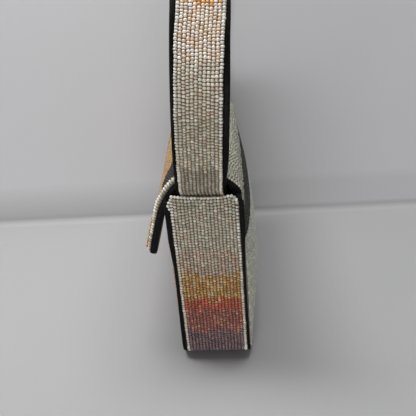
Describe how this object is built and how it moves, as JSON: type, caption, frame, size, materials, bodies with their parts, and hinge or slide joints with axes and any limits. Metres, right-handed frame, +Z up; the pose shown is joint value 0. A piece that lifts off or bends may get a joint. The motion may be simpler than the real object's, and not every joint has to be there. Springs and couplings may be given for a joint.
{
  "type": "beaded handbag",
  "caption": "Small boxy handbag covered in seed beads, with a fold-over flap, leather-bound edges, beaded end gussets and a stiff round top handle.",
  "frame": {"origin": "middle of the flat base panel, on the surface the bag stands on", "axes": "+Z up towards the strap, +X along the bag's length, -Y towards the front with the flap"},
  "size_m": [0.2244, 0.0798, 0.29],
  "materials": {
    "black_leather": "smooth black leather",
    "black_suede": "matt black suede",
    "stiff_board": "stiff interlining, hidden",
    "lining_cloth": "dark twill lining",
    "gusset_beads": "opaque glass seed beads in bands of cream, mustard, rust, rose and grey",
    "strap_beads": "opaque glass seed beads, ivory turning to peach",
    "front_beads": "opaque glass seed beads in orange and red bands with a cream border",
    "back_beads": "opaque glass seed beads in grey ivory with a cream border",
    "magnet_steel": "plain plated steel, hidden",
    "rivet_brass": "polished"
  },
  "bodies": {
    "bag": {"base_panel": "black_leather", "front_edge_binding": "black_leather", "back_edge_binding": "black_leather", "mouth_binding": "black_leather", "anchor_pad_left": "black_leather", "anchor_pad_right": "black_leather", "front_board": "stiff_board", "back_board": "stiff_board", "gusset_band": "stiff_board", "base_board": "stiff_board", "front_lining": "lining_cloth", "back_lining": "lining_cloth", "gusset_lining": "lining_cloth", "fold_tape": "lining_cloth", "slip_pocket": "lining_cloth", "gusset_beading_left": "gusset_beads", "gusset_beading_right": "gusset_beads", "gusset_hem_left": "gusset_beads", "gusset_hem_right": "gusset_beads", "front_beading": "front_beads", "back_beading": "back_beads", "front_magnet": "magnet_steel", "anchor_rivet_left": "rivet_brass", "anchor_rivet_right": "rivet_brass"},
    "flap": {"flap_edge_binding": "black_leather", "flap_lining": "black_suede", "flap_core": "stiff_board", "flap_beading": "front_beads", "flap_magnet": "magnet_steel"},
    "strap": {"strap_facing": "black_leather", "strap_edge_front": "black_leather", "strap_edge_back": "black_leather", "strap_lining": "black_suede", "strap_core": "stiff_board", "strap_beading": "strap_beads"}
  },
  "joints": [
    {"name": "flap_fold", "type": "hinge", "parent": "bag", "child": "flap", "pos_m": [0, 0.01927, 0.12765], "axis": [-1, 0, 0], "range_deg": [0, 165]},
    {"name": "strap_lean", "type": "hinge", "parent": "bag", "child": "strap", "pos_m": [0, -0.0071, 0.118], "axis": [1, 0, 0], "range_deg": [-8, 8]}
  ]
}
